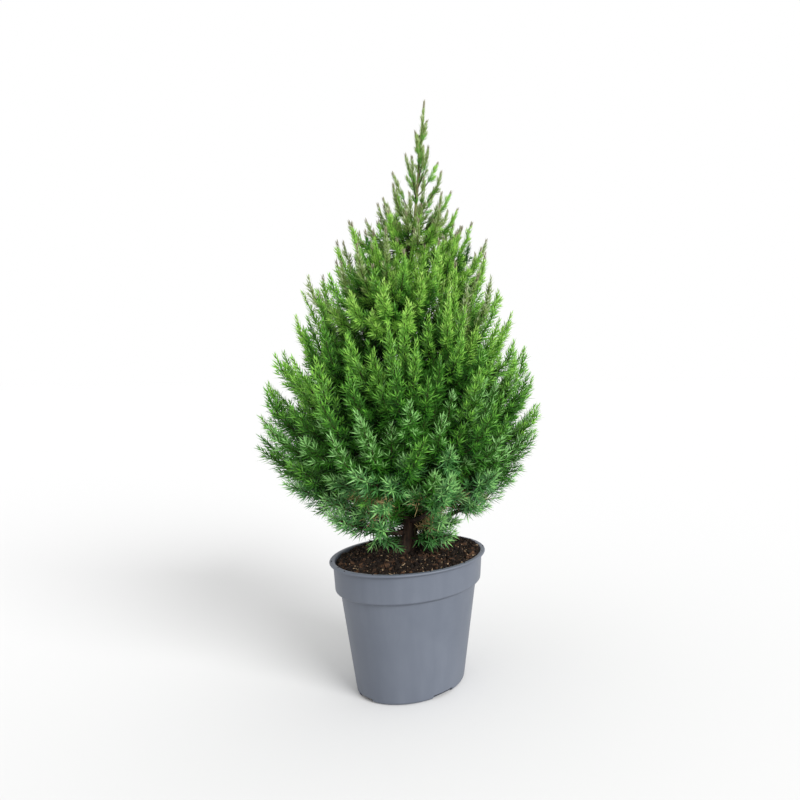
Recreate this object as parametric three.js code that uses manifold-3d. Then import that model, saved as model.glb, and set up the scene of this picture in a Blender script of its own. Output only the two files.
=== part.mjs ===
// A young Chinese juniper in a round grey nursery pot, standing on the pot's flat underside.
// Millimetres, +Z up, origin at the middle of the underside, -Y towards the viewer.
import * as THREE from "three";
import { mergeVertices } from "three/addons/utils/BufferGeometryUtils.js";
import Module from "manifold-3d";

const wasm = await Module();
wasm.setup();

// Driving dimensions

const GAP = 0.3; // clear space between two neighbouring solids
const FACET = 0.05; // slivers thinner than this are dropped where solids are fused

const POT = {
  height: 166,
  lipRadius: 95, // the thin flange round the mouth
  lipThickness: 3,
  lipRound: 0.9,
  bandTopRadius: 90.5, // the plain band under the lip
  bandFootRadius: 88.5,
  bandHeight: 36,
  ledge: 3, // height over which the band steps in to the body
  bodyTopRadius: 82.5,
  footRadius: 66,
  footChamfer: 2.5,
  wall: 1.8,
  floor: 2.4,
  sides: 40,
  drains: 4, // wide notches through the foot's corner
  drainBearing: -39, // of the first one
  drainWidth: 28,
  drainHeight: 5,
  drainDepth: 12,
};

const SOIL = {
  edgeHeight: 162,
  crestHeight: 164.5, // level where the trunk stands
  crestRadius: 24,
  slopeRings: 2, // rings of corners between the crest and the wall
  lump: 2.2, // height of the uneven crumb
  lumpsRound: 5,
  lumpsAcross: 3,
};

const TRUNK = {
  footX: -9.5,
  footY: 2,
  footRadius: 8.6,
  tipRadius: 2.2,
  tipHeight: 545,
  flare: 5, // extra radius of the root flare at the cut
  flareHeight: 13,
  roots: 5, // ridges in the flare
  ridge: 0.4,
  slope: 23, // sideways travel close to the foot
  slopeHeight: 30,
  lean: 14.5, // further sideways travel up to the crown's top
  bow: 32.8, // the other way in between, most of it low down
  weave: 4,
  sides: 10,
  steps: 20,
  footPacking: 1.5, // above 1 the rings lie closer together at the foot
};

const CROWN = {
  bottom: 172,
  top: 734,
  radius: 176,
  shoulder: 0.75, // how quickly the outline swells above its bottom
  taper: 1.7, // how slender it is towards its top
  slack: 14, // how far a spray may stand out of the outline
  clearOfPot: 4,
  crowding: 0.95, // 1 spreads the tips evenly over the outline, more thins them out at the top
};

const LIMB = {
  count: 25,
  topShare: 0.95, // share of the way up the tips that the limbs reach, below the leader's own
  firstBearing: 330, // degrees, anticlockwise from +X
  lowAscent: 24, // degrees above level from foot to tip
  highAscent: 62,
  lowestFoot: 17, // above the soil
  footStep: 5, // least height between the feet of two limbs
  elbow: 0.55, // where the limb turns up, as a share of its run
  elbowRise: 0.22, // height gained by there
  unevenness: 0.06, // how far short of the outline a tip may stop
  bearingSway: 16, // degrees
  boughShare: 0.42, // share of the limb that is bare bough
  shortestBough: 44, // a limb with less bare wood than this is all stem
  thickness: 0.42, // of the trunk where the limb leaves it
  boughTaper: 0.72,
  boughSides: 4,
  boughSteps: 3,
  stemTipRadius: 0.9,
  stemSides: 3,
  stemSteps: 3,
  stretches: 6, // straight pieces that stand for a limb in tests
  stemEnd: 0.84, // share of the limb where its last spray takes over
  heart: 0.72, // share of the limb that its own space lies round
  leaderHeart: 0.3,
};

const CORE = {
  from: 0.45, // shares of the limb
  to: 0.93,
  radius: 0.18, // of the crown's own at that height
  leastRadius: 1,
  depth: 24, // how far it stays inside the crown's outline
  shrink: 0.88, // step by which a corner draws in until it fits
  sides: 5,
  rows: 4,
};

const SPRAY = {
  count: 178,
  unevenness: 0.1, // how far short of the outline a tip may stop
  lowRise: 12, // degrees above level that a spray points, low in the crown
  highRise: 78, // and at its top
  roots: 36, // places along a stem that a twig may start from
  terminalRoots: 7, // the spray at the stem's end starts this many places short of it
  plume: 0.68, // share of the twig that carries needles
  longestPlume: 70,
  agreement: 0.72, // least cosine between the way it runs and the way it should point
  sides: 3,
  twig: 1, // radius
  neck: 0.5, // of the plume, from its tip
  core: 0.1, // radii and needles, as shares of the plume
  neckCore: 0.075,
  bareTip: 0.36,
  needleStand: 0.23,
  needleSweep: 0.42, // of the way on to the tip
  room: 0.1, // kept clear round it
  shrink: [1, 0.88, 0.76, 0.64], // sizes that are tried in turn
  rootSink: 0.8,
};

const GOLDEN_ANGLE = 137.508;
const STEEP = 0.93; // a direction that rises more than this counts as upright
const UP = new THREE.Vector3(0, 0, 1);

// Colours and finishes

const FINISH = {
  pot: new THREE.MeshStandardMaterial({ color: 0x7f8593, roughness: 0.5, metalness: 0 }),
  soil: new THREE.MeshStandardMaterial({ color: 0x2c2018, roughness: 0.95, metalness: 0 }),
  bark: new THREE.MeshStandardMaterial({ color: 0x3b2a22, roughness: 0.9, metalness: 0 }),
  needles: new THREE.MeshStandardMaterial({ color: 0x4a7f32, roughness: 0.65, metalness: 0 }),
};

// Small helpers

const { lerp, clamp, degToRad } = THREE.MathUtils;
const counted = (count) => [...Array(count).keys()];

// Evenly spread numbers from 0 to 1 that are the same on every run.
function seededRandom(seed) {
  let state = (seed * 7919 + 104729) >>> 0;
  const next = () => {
    state = (Math.imul(state, 1664525) + 1013904223) >>> 0;
    return state / 2 ** 32;
  };
  next();
  next();
  return next;
}

// Two directions square to a limb, so that (side, along, lift) is a right-handed set.
function crossAxes(along, reference) {
  const side = new THREE.Vector3().crossVectors(along, reference).normalize();
  const lift = new THREE.Vector3().crossVectors(side, along).normalize();
  return { side, lift };
}

function steadyReference(direction) {
  return Math.abs(direction.z) > STEEP ? new THREE.Vector3(1, 0, 0) : UP;
}

// Shortest distance between two straight segments.
function segmentDistance(a0, a1, b0, b1) {
  const u = a1.clone().sub(a0);
  const v = b1.clone().sub(b0);
  const w = a0.clone().sub(b0);
  const uu = u.dot(u);
  const uv = u.dot(v);
  const vv = v.dot(v);
  const spread = uu * vv - uv * uv;
  let s = spread > 1e-9 ? clamp((uv * v.dot(w) - vv * u.dot(w)) / spread, 0, 1) : 0;
  const t = clamp((uv * s + v.dot(w)) / vv, 0, 1);
  s = clamp((uv * t - u.dot(w)) / uu, 0, 1);
  return w.addScaledVector(u, s).addScaledVector(v, -t).length();
}

// Solids and geometry

function cornersOf(geometry) {
  const spots = geometry.getAttribute("position");
  return counted(spots.count).map((i) => new THREE.Vector3().fromBufferAttribute(spots, i));
}

function moveCorners(geometry, place) {
  const spots = geometry.getAttribute("position");
  cornersOf(geometry).forEach((corner, i) => spots.setXYZ(i, ...place(corner)));
  return geometry;
}

// An indexed copy that holds only positions, with no doubled points and no empty triangles.
function welded(geometry) {
  const bare = geometry.clone();
  bare.deleteAttribute("normal");
  bare.deleteAttribute("uv");
  const merged = mergeVertices(bare, 1e-4);
  const index = merged.index.array;
  const kept = [];
  for (let i = 0; i < index.length; i += 3) {
    const [a, b, c] = [index[i], index[i + 1], index[i + 2]];
    if (a !== b && b !== c && c !== a) kept.push(a, b, c);
  }
  return merged.setIndex(kept);
}

function solidOf(geometry) {
  const { attributes, index } = welded(geometry);
  const vertProperties = new Float32Array(attributes.position.array);
  const triVerts = new Uint32Array(index.array);
  return new wasm.Manifold(new wasm.Mesh({ numProp: 3, vertProperties, triVerts }));
}

// The largest piece of a solid, with loose scraps dropped and sealed hollows filled.
function mainBody(solid) {
  const bodies = solid.decompose().sort((a, b) => b.volume() - a.volume());
  return bodies[0];
}

function geometryOf(solid) {
  const { vertProperties, triVerts } = solid.getMesh();
  return new THREE.BufferGeometry()
    .setAttribute("position", new THREE.BufferAttribute(vertProperties, 3))
    .setIndex(new THREE.BufferAttribute(triVerts, 1));
}

function turned(profile, sides) {
  const points = profile.map(([radius, height]) => new THREE.Vector2(radius, height));
  return new THREE.LatheGeometry(points, sides).rotateX(Math.PI / 2);
}

// A rod round a curve, through rings that each have a place t along it and a radius.
function rod(curve, rings, sides) {
  const steps = rings.length - 1;
  const shape = new THREE.CylinderGeometry(rings[steps].radius > 0 ? 1 : 0, 1, 1, sides, steps);
  const reference = steadyReference(curve.getTangent((rings[0].t + rings[steps].t) / 2));
  return moveCorners(shape, (corner) => {
    const { t, radius } = rings[Math.round((corner.y + 0.5) * steps)];
    const { side, lift } = crossAxes(curve.getTangent(t), reference);
    const around = Math.hypot(corner.x, corner.z);
    const scale = around > 1e-6 ? radius / around : 0;
    return curve
      .getPoint(t)
      .addScaledVector(side, corner.x * scale)
      .addScaledVector(lift, corner.z * scale);
  });
}

// Evenly spaced rings of a rod that tapers from its foot to its tip.
function taperedRings(from, to, footRadius, tipRadius, steps) {
  return counted(steps + 1).map((i) => ({
    t: lerp(from, to, i / steps),
    radius: lerp(footRadius, tipRadius, i / steps),
  }));
}

// The crown's outline and the trunk's line

function axisAt(height) {
  const t = (height - SOIL.crestHeight) / (CROWN.top - SOIL.crestHeight);
  const slope = TRUNK.slope * (1 - Math.exp(-(height - SOIL.crestHeight) / TRUNK.slopeHeight));
  const x = TRUNK.footX + slope + TRUNK.lean * t * t - TRUNK.bow * (1 - t) * Math.sin(Math.PI * t);
  const y = TRUNK.footY + TRUNK.weave * Math.sin(2 * Math.PI * t);
  return new THREE.Vector3(x, y, height);
}

function crownRadius(height) {
  const share = clamp((height - CROWN.bottom) / (CROWN.top - CROWN.bottom), 0, 1);
  const peak = CROWN.shoulder / (CROWN.shoulder + CROWN.taper);
  const swell = (share / peak) ** CROWN.shoulder;
  const narrowing = ((1 - share) / (1 - peak)) ** CROWN.taper;
  return CROWN.radius * swell * narrowing;
}

// How far a point lies inside the crown's outline, level with it.
function depthInCrown(point) {
  const axis = axisAt(point.z);
  return crownRadius(point.z) - Math.hypot(point.x - axis.x, point.y - axis.y);
}

// The height below which the given share of the tips lies. They stand closest where the crown is widest.
function heightAtShare(share) {
  const slices = 200;
  const heights = counted(slices).map((i) => lerp(CROWN.bottom, CROWN.top, (i + 0.5) / slices));
  const crowding = (height) => crownRadius(height) ** CROWN.crowding;
  const total = heights.reduce((sum, height) => sum + crowding(height), 0);
  let below = 0;
  return heights.find((height) => {
    below += crowding(height);
    return below >= share * total;
  });
}

function trunkRadius(height) {
  const share = (height - SOIL.crestHeight) / (TRUNK.tipHeight - SOIL.crestHeight);
  return lerp(TRUNK.footRadius, TRUNK.tipRadius, clamp(share, 0, 1));
}

// Pot and soil

// The inside of the pot's wall, from the mouth down to the floor, drawn in by a clearance.
function potInside(mouthHeight, clearance) {
  const inset = POT.wall + clearance;
  const bandFoot = POT.height - POT.bandHeight;
  const mouthShare = (mouthHeight - bandFoot) / POT.bandHeight;
  return [
    [lerp(POT.bandFootRadius, POT.bandTopRadius, mouthShare) - inset, mouthHeight],
    [POT.bandFootRadius - inset, bandFoot + clearance],
    [POT.bodyTopRadius - inset, bandFoot - POT.ledge + clearance],
    [POT.footRadius - inset, POT.floor + clearance],
  ];
}

function potSolid() {
  const bandFoot = POT.height - POT.bandHeight;
  const lipFoot = POT.height - POT.lipThickness;
  const shell = turned(
    [
      [0, 0],
      [POT.footRadius - POT.footChamfer, 0],
      [POT.footRadius, POT.footChamfer],
      [POT.bodyTopRadius, bandFoot - POT.ledge],
      [POT.bandFootRadius, bandFoot],
      [POT.bandTopRadius, lipFoot - POT.lipRound],
      [POT.lipRadius - POT.lipRound, lipFoot],
      [POT.lipRadius, POT.height - POT.lipThickness / 2],
      [POT.lipRadius - POT.lipRound, POT.height],
      ...potInside(POT.height, 0),
      [0, POT.floor],
    ],
    POT.sides,
  );
  const notches = counted(POT.drains).map((i) => {
    const notch = new THREE.BoxGeometry(POT.drainDepth, POT.drainWidth, 2 * POT.drainHeight);
    notch.translate(POT.footRadius, 0, 0);
    return solidOf(notch.rotateZ(degToRad(POT.drainBearing + (360 * i) / POT.drains)));
  });
  return notches.reduce((pot, notch) => pot.subtract(notch), solidOf(shell));
}

function soilSolid() {
  const sides = potInside(SOIL.edgeHeight, GAP).reverse();
  const wallRadius = sides.at(-1)[0];
  const slope = counted(SOIL.slopeRings).map((i) => {
    const share = (i + 1) / (SOIL.slopeRings + 1);
    const rise = (1 - Math.cos(Math.PI * share)) / 2;
    return [lerp(wallRadius, SOIL.crestRadius, share), lerp(SOIL.edgeHeight, SOIL.crestHeight, rise)];
  });
  const heap = turned(
    [
      [0, POT.floor + GAP],
      ...sides,
      ...slope,
      [SOIL.crestRadius, SOIL.crestHeight],
      [0, SOIL.crestHeight],
    ],
    POT.sides,
  );
  moveCorners(heap, ({ x, y, z }) => {
    const radius = Math.hypot(x, y);
    const bearing = Math.atan2(y, x);
    const onTop = z > SOIL.edgeHeight && z < SOIL.crestHeight;
    const wave = Math.sin(SOIL.lumpsRound * bearing) * Math.cos(SOIL.lumpsAcross * bearing + radius);
    return [x, y, onTop ? z + SOIL.lump * wave : z];
  });
  return solidOf(heap);
}

// Trunk, grown by a clearance where it is used to cut the limbs that meet it.
function trunkSolid(clearance) {
  const shape = new THREE.CylinderGeometry(1, 1, 1, TRUNK.sides, TRUNK.steps).rotateX(Math.PI / 2);
  const foot = SOIL.crestHeight + GAP;
  moveCorners(shape, ({ x, y, z }) => {
    const height = lerp(foot, TRUNK.tipHeight, clamp(z + 0.5, 0, 1) ** TRUNK.footPacking);
    const ridges = 1 + TRUNK.ridge * Math.cos(TRUNK.roots * Math.atan2(y, x));
    const flare = TRUNK.flare * ridges * Math.exp(-(height - foot) / TRUNK.flareHeight);
    const radius = trunkRadius(height) + flare + clearance;
    const axis = axisAt(height);
    return [axis.x + x * radius, axis.y + y * radius, height];
  });
  return solidOf(shape);
}

// Limbs

// One limb: a curve that leaves the trunk low, runs out and turns up to a tip on the crown's outline.
function planLimb(index) {
  const random = seededRandom(index + 1);
  const rank = (index + 0.5) / LIMB.count;
  const sway = LIMB.bearingSway * (random() - 0.5);
  const bearing = degToRad(LIMB.firstBearing + index * GOLDEN_ANGLE + sway);
  const outward = new THREE.Vector3(Math.cos(bearing), Math.sin(bearing), 0);
  const tipHeight = heightAtShare(rank * LIMB.topShare);
  const reach = crownRadius(tipHeight) * (1 - LIMB.unevenness * random());
  const climb = reach * Math.tan(degToRad(lerp(LIMB.lowAscent, LIMB.highAscent, rank)));
  const lowestFoot = SOIL.crestHeight + LIMB.lowestFoot + index * LIMB.footStep;
  const footHeight = Math.max(lowestFoot, tipHeight - climb);
  const foot = axisAt(footHeight);
  const tip = axisAt(tipHeight).addScaledVector(outward, reach);
  const elbow = foot.clone().lerp(tip, LIMB.elbow);
  elbow.z = lerp(foot.z, tip.z, LIMB.elbowRise);
  const curve = new THREE.QuadraticBezierCurve3(foot, elbow, tip);
  const length = curve.getLength();
  const hasBough = LIMB.boughShare * length - trunkRadius(footHeight) > LIMB.shortestBough;
  const footRadius = LIMB.thickness * trunkRadius(footHeight);
  return {
    name: String(index + 1).padStart(2, "0"),
    curve,
    hasBough,
    hasCore: true,
    footRadius,
    stemStart: hasBough ? LIMB.boughShare + GAP / length : 0,
    stemRadius: hasBough ? footRadius * LIMB.boughTaper : footRadius,
    heart: curve.getPoint(LIMB.heart),
  };
}

// The top of the tree: the leader grows on from the trunk's tip, slender and open.
function planLeader() {
  const curve = new THREE.LineCurve3(axisAt(TRUNK.tipHeight + GAP), axisAt(CROWN.top));
  return {
    name: "top",
    curve,
    hasBough: false,
    hasCore: false,
    stemStart: 0,
    stemRadius: TRUNK.tipRadius,
    heart: curve.getPoint(LIMB.leaderHeart),
  };
}

function boughGeometry({ curve, footRadius }, clearance) {
  const tipRadius = footRadius * LIMB.boughTaper + clearance;
  const rings = taperedRings(0, LIMB.boughShare, footRadius + clearance, tipRadius, LIMB.boughSteps);
  return rod(curve, rings, LIMB.boughSides);
}

function stemGeometry({ curve, stemStart, stemRadius }, clearance) {
  const tipRadius = LIMB.stemTipRadius + clearance;
  const rings = taperedRings(stemStart, LIMB.stemEnd, stemRadius + clearance, tipRadius, LIMB.stemSteps);
  return rod(curve, rings, LIMB.stemSides);
}

// Straight stretches that stand for a limb when a spray is tested against it.
function stretchesOf(pointAt, from, to, radiusAt, owner) {
  const spots = counted(LIMB.stretches + 1).map((i) => pointAt(lerp(from, to, i / LIMB.stretches)));
  return spots.slice(1).map((end, i) => ({ start: spots[i], end, radius: radiusAt(spots[i].z), owner }));
}

// Foliage

// A mass's own space is what lies nearer to its heart than to any other mass's.
function inOwnSpace(point, own, hearts) {
  return hearts.every((other) => {
    if (other === own) return true;
    const lead = point.distanceToSquared(other) - point.distanceToSquared(own);
    return lead / (2 * own.distanceTo(other)) > GAP;
  });
}

// The dense heart of a mass: a faceted spindle round its limb, drawn in to fit the mass's own space.
function coreGeometry(limb, hearts) {
  const shape = new THREE.SphereGeometry(1, CORE.sides, CORE.rows);
  const reference = steadyReference(limb.curve.getTangent(CORE.to));
  return moveCorners(shape, (corner) => {
    const t = lerp(CORE.from, CORE.to, (corner.y + 1) / 2);
    const centre = limb.curve.getPoint(t);
    const { side, lift } = crossAxes(limb.curve.getTangent(t), reference);
    const offset = side.multiplyScalar(corner.x).addScaledVector(lift, corner.z);
    let radius = CORE.radius * crownRadius(centre.z);
    let spot = centre.clone().addScaledVector(offset, radius);
    const fits = () => inOwnSpace(spot, limb.heart, hearts) && depthInCrown(spot) > CORE.depth;
    while (radius > CORE.leastRadius && !fits()) {
      radius *= CORE.shrink;
      spot = centre.clone().addScaledVector(offset, radius);
    }
    return spot;
  });
}

// A spray: a twig that swells to a slim core, whose faces are drawn out to needles that lean forward.
function sprayGeometry(root, tip, plume) {
  const length = root.distanceTo(tip);
  const axis = tip.clone().sub(root).normalize();
  const rings = [
    { t: 0, radius: SPRAY.twig },
    { t: 1 - plume / length, radius: SPRAY.core * plume },
    { t: 1 - (SPRAY.neck * plume) / length, radius: SPRAY.neckCore * plume },
    { t: 1, radius: 0 },
  ];
  const core = welded(rod(new THREE.LineCurve3(root, tip), rings, SPRAY.sides));
  const corners = cornersOf(core);
  const faces = [];
  for (let i = 0; i < core.index.count; i += 3) {
    const trio = [...core.index.array.slice(i, i + 3)];
    const face = new THREE.Triangle(...trio.map((corner) => corners[corner]));
    const needle = face.getMidpoint(new THREE.Vector3());
    const toTip = tip.clone().sub(needle).dot(axis);
    if (toTip > plume || toTip < SPRAY.bareTip * plume) {
      faces.push(...trio);
      continue;
    }
    needle.addScaledVector(face.getNormal(new THREE.Vector3()), SPRAY.needleStand * plume);
    needle.addScaledVector(axis, SPRAY.needleSweep * plume);
    trio.forEach((corner, k) => faces.push(corner, trio[(k + 1) % 3], corners.length));
    corners.push(needle);
  }
  return new THREE.BufferGeometry().setFromPoints(corners).setIndex(faces);
}

// The tips of all the sprays, spread evenly over the crown's outline, with the way each one points.
function planTip(index) {
  const random = seededRandom(LIMB.count + 1 + index);
  const rank = (index + 0.5) / SPRAY.count;
  const height = heightAtShare(rank);
  const bearing = degToRad(index * GOLDEN_ANGLE);
  const outward = new THREE.Vector3(Math.cos(bearing), Math.sin(bearing), 0);
  const reach = crownRadius(height) * (1 - SPRAY.unevenness * random());
  const tip = axisAt(height).addScaledVector(outward, reach);
  const rise = degToRad(lerp(SPRAY.lowRise, SPRAY.highRise, rank));
  const heading = outward.multiplyScalar(Math.cos(rise)).addScaledVector(UP, Math.sin(rise));
  return { tip, heading };
}

// Grows the sprays of one mass that fit its own space, and fuses them with its stem and core.
function growMass(limb, tips, hearts, stretches, cutters) {
  const fits = (root, tip, room, corners) =>
    corners.every((corner) => inOwnSpace(corner, limb.heart, hearts)) &&
    corners.every((corner) => corner.z > POT.height + CROWN.clearOfPot) &&
    corners.every((corner) => depthInCrown(corner) > -CROWN.slack) &&
    stretches.every(
      ({ start, end, radius, owner }) =>
        owner === limb || segmentDistance(root, tip, start, end) > radius + room,
    );
  const sprays = [];
  const trySpray = (wantedTip, root, shrink) => {
    const tip = root.clone().lerp(wantedTip, shrink);
    const length = root.distanceTo(tip);
    const sunk = root.clone().lerp(tip, -SPRAY.rootSink / length);
    const plume = Math.min(SPRAY.longestPlume, SPRAY.plume * length);
    const geometry = sprayGeometry(sunk, tip, plume);
    const grows = fits(root, tip, SPRAY.room * plume, cornersOf(geometry));
    if (grows) sprays.push(solidOf(geometry));
    return grows;
  };

  const freeRoots = counted(SPRAY.roots)
    .map((i) => limb.curve.getPoint(lerp(limb.stemStart, LIMB.stemEnd, (i + 1) / SPRAY.roots)))
    .filter((spot) => inOwnSpace(spot, limb.heart, hearts));
  const lastRoot = freeRoots.at(-SPRAY.terminalRoots) ?? freeRoots[0];
  trySpray(limb.curve.getPoint(1), lastRoot, 1);
  for (const { tip, heading } of tips.filter((each) => inOwnSpace(each.tip, limb.heart, hearts))) {
    const agreement = (spot) => tip.clone().sub(spot).normalize().dot(heading);
    const roots = freeRoots
      .filter((spot) => agreement(spot) > SPRAY.agreement)
      .sort((a, b) => agreement(b) - agreement(a));
    for (const shrink of SPRAY.shrink) {
      const root = roots.find((spot) => trySpray(tip, spot, shrink));
      if (!root) continue;
      freeRoots.splice(freeRoots.indexOf(root), 1);
      break;
    }
  }
  const core = limb.hasCore ? [solidOf(coreGeometry(limb, hearts))] : [];
  const grown = wasm.Manifold.union([solidOf(stemGeometry(limb, 0)), ...core, ...sprays]);
  const neighbours = cutters.filter(({ owner }) => owner !== limb).map(({ solid }) => solid);
  return mainBody(grown.subtract(wasm.Manifold.union(neighbours)).simplify(FACET));
}

// Assembly

function node(name, solid, material) {
  const mesh = new THREE.Mesh(geometryOf(solid), material);
  mesh.name = name;
  return mesh;
}

const limbs = counted(LIMB.count).map(planLimb);
const leader = planLeader();
const masses = [...limbs, leader];
const boughs = limbs.filter((limb) => limb.hasBough);
const hearts = masses.map((limb) => limb.heart);
const tips = counted(SPRAY.count).map(planTip);
const trunkCutter = trunkSolid(GAP);

// Everything a mass keeps clear of, as stretches for its sprays and as cutters for its core.
const stretches = [
  ...stretchesOf(axisAt, SOIL.crestHeight, TRUNK.tipHeight, trunkRadius, null),
  ...boughs.flatMap(({ curve, footRadius }) =>
    stretchesOf((t) => curve.getPoint(t), 0, LIMB.boughShare, () => footRadius, null),
  ),
  ...masses.flatMap((limb) =>
    stretchesOf((t) => limb.curve.getPoint(t), limb.stemStart, LIMB.stemEnd, () => limb.stemRadius, limb),
  ),
];
const cutters = [
  { solid: trunkCutter, owner: leader },
  ...boughs.map((limb) => ({ solid: solidOf(boughGeometry(limb, GAP)), owner: null })),
  ...masses.map((limb) => ({ solid: solidOf(stemGeometry(limb, GAP)), owner: limb })),
];

const plant = new THREE.Group();
plant.name = "potted_juniper";
plant.add(node("pot", potSolid(), FINISH.pot));
plant.add(node("soil", soilSolid(), FINISH.soil));
plant.add(node("trunk", trunkSolid(0), FINISH.bark));
for (const limb of boughs) {
  const bough = mainBody(solidOf(boughGeometry(limb, 0)).subtract(trunkCutter));
  plant.add(node("bough_" + limb.name, bough, FINISH.bark));
}
for (const limb of masses) {
  plant.add(node("foliage_" + limb.name, growMass(limb, tips, hearts, stretches, cutters), FINISH.needles));
}

export default plant;
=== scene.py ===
# A young Chinese juniper in a round grey nursery pot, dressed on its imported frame.
# Its limbs are planned again by the source's rule, and finer twigs, shoots and needles grow on from them.
# Lengths are in millimetres, in the frame's axes, until a mesh is made, which is in metres.
import math
from types import SimpleNamespace

import bmesh
import bpy
import numpy as np
from mathutils import Matrix, Vector, noise


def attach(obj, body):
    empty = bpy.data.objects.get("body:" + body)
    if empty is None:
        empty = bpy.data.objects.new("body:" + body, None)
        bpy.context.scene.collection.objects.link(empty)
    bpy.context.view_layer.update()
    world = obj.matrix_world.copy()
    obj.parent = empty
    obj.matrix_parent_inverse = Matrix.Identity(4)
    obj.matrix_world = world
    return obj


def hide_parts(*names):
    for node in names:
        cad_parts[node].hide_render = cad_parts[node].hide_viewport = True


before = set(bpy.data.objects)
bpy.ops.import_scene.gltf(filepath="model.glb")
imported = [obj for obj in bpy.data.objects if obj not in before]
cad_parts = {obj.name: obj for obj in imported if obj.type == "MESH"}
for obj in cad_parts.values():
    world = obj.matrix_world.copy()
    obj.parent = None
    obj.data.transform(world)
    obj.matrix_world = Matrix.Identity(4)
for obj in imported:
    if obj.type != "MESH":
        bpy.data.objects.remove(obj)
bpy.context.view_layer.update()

# Sizes shared with the part's solids

MM = 0.001
GAP = 0.3  # clear space between two neighbouring solids
GOLDEN_ANGLE = math.radians(137.508)
UP = np.array((0.0, 0.0, 1.0))
RANDOM = SimpleNamespace(spread=7919, offset=104729, factor=1664525, step=1013904223, range=2**32)

POT = SimpleNamespace(
    height=166,
    lip_radius=95, lip_thickness=3, lip_round=0.9,  # the thin flange round the mouth
    band_top_radius=90.5, band_foot_radius=88.5, band_height=36,  # the plain band under the lip
    ledge=3,  # height over which the band steps in to the body
    body_top_radius=82.5, foot_radius=66, foot_chamfer=2.5, wall=1.8, floor=2.4,
    drains=4, drain_bearing=-39, drain_width=28, drain_height=5, drain_depth=12,  # notches in the foot
)
SOIL = SimpleNamespace(edge_height=162, crest_height=164.5, crest_radius=24)
TRUNK = SimpleNamespace(
    foot_x=-9.5, foot_y=2, foot_radius=8.6, tip_radius=2.2, tip_height=545,
    flare=5, flare_height=13, roots=5, ridge=0.4,  # the root flare and the ridges in it
    slope=23, slope_height=30,  # sideways travel close to the foot
    lean=14.5,  # further sideways travel up to the crown's top
    bow=32.8,  # the other way in between, most of it low down
    weave=4,
)
CROWN = SimpleNamespace(
    bottom=172, top=734, radius=176,
    shoulder=0.75,  # how quickly the outline swells above its bottom
    taper=1.7,  # how slender it is towards its top
    slack=14,  # how far a spray may stand out of the outline
    crowding=0.95,  # 1 spreads the tips evenly over the outline, more thins them out at the top
    slices=200,  # that the tips are counted in
)
LIMB = SimpleNamespace(
    count=25,
    top_share=0.95,  # share of the way up the tips that the limbs reach, below the leader's own
    first_bearing=330, bearing_sway=16,  # degrees, anticlockwise from +X
    low_ascent=24, high_ascent=62,  # degrees above level from foot to tip
    lowest_foot=17,  # above the compost
    foot_step=5,  # least height between the feet of two limbs
    elbow=0.55, elbow_rise=0.22,  # where the limb turns up, as shares of its run and of its rise
    unevenness=0.06,  # how far short of the outline a tip may stop
    bough_share=0.42,  # share of the limb that is bare bough
    shortest_bough=44,  # a limb with less bare wood than this is all stem
    thickness=0.42,  # of the trunk where the limb leaves it
    bough_taper=0.72, stem_tip_radius=0.9,
    stem_end=0.84,  # share of the limb where its last spray takes over
    heart=0.72, leader_heart=0.3,  # share of the limb that its own space lies round
    samples=200,  # points that its length is measured over
)

# Sizes of the finer growth. A trio holds the size low in the crown, at its middle and at its top.

MIDDLE_RANK = 0.8  # share of the sprays that lie below the middle
SPRAY = SimpleNamespace(
    rise_heights=(172, 260, 300, 350, 420, 550, 734),  # heights with the degrees that a spray rises
    rise=(8, 24, 44, 64, 77, 80, 68),
    spread_heights=(172, 225, 260, 340, 420, 465, 520, 560, 610),  # heights with their share of the radius
    spread=(0.78, 0.86, 0.95, 1.03, 0.98, 0.94, 1.08, 1.18, 1.05),
    fuller=0.08, fuller_height=600, fuller_depth=45,  # the crown's fuller right side near its top
    sway=14,  # degrees that it may turn aside
    roots=48,  # places along a stem that a twig may start from
    usual=(110, 110, 48),  # length that a twig likes to have
    stretch=0.35,  # how much a twig of another length is disliked
    sharing=0.03,  # how much a root that is in use is disliked
    bend=0.62,  # share of the twig that already points the final way
    bare=0.2,  # share of the twig with no side shoots
    last_shoot=0.88,  # share of the twig where its last side shoot stands
    vigour=0.5,  # how much the size of the sprays varies
    foot_radius=0.8, tip_radius=0.4, wood=(58, 54, 31),
)
SHOOT = SimpleNamespace(
    spacing=(5.4, 4.8, 14),  # along the twig
    fewest=3,  # on a twig
    length=(35, 27, 16),  # of the longest side shoots
    tip_length=0.2,  # of that, at the end of the twig
    unevenness=0.5, shortening=0.6,  # of the length, and the share of it that shortens a shoot
    slant=(46, 30, 27),  # degrees off the twig
    foot_slant=1.1, tip_slant=0.7,  # of that, at the foot and at the end of the twig
    straighten=0.55,  # how far a shoot turns along its twig
    lift=0.22,  # and upwards
    leading=0.5,  # share of the twig whose own end carries needles
    draw_in=0.75, draw_ins=4,  # what is left of a shoot that leaves the crown, and how often it is cut
    radius=0.45, taper=0.4, wood=(68, 88, 38),
)
NEEDLE = SimpleNamespace(
    per_whorl=3,
    spacing=(2.9, 2.3, 1.5),  # of the whorls along the shoot
    fewest_whorls=3,
    first_whorl=0.8,  # its distance from the shoot's foot, in spacings
    twist=0.5,  # radians that a whorl may turn on
    length=(15, 9.6, 8.2), length_range=(0.82, 1.18),  # and the shares of it that needles have
    slant=(58, 44, 33), slant_range=(0.85, 1.15),  # degrees off the shoot at its foot, and shares of it
    tip_length=0.62, tip_slant=0.5,  # of those, at the shoot's end
    width=1.55,
    widest=0.35,  # share of the needle's length where it is widest
    fold=0.22,  # how far its edges stand up, of its width
    roughness=0.45, gloss=0.6,
    shaded=("shade", "deep", "straw"), shaded_gloss=0.25,  # the duller inner needles
    seed=11,
)
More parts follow.
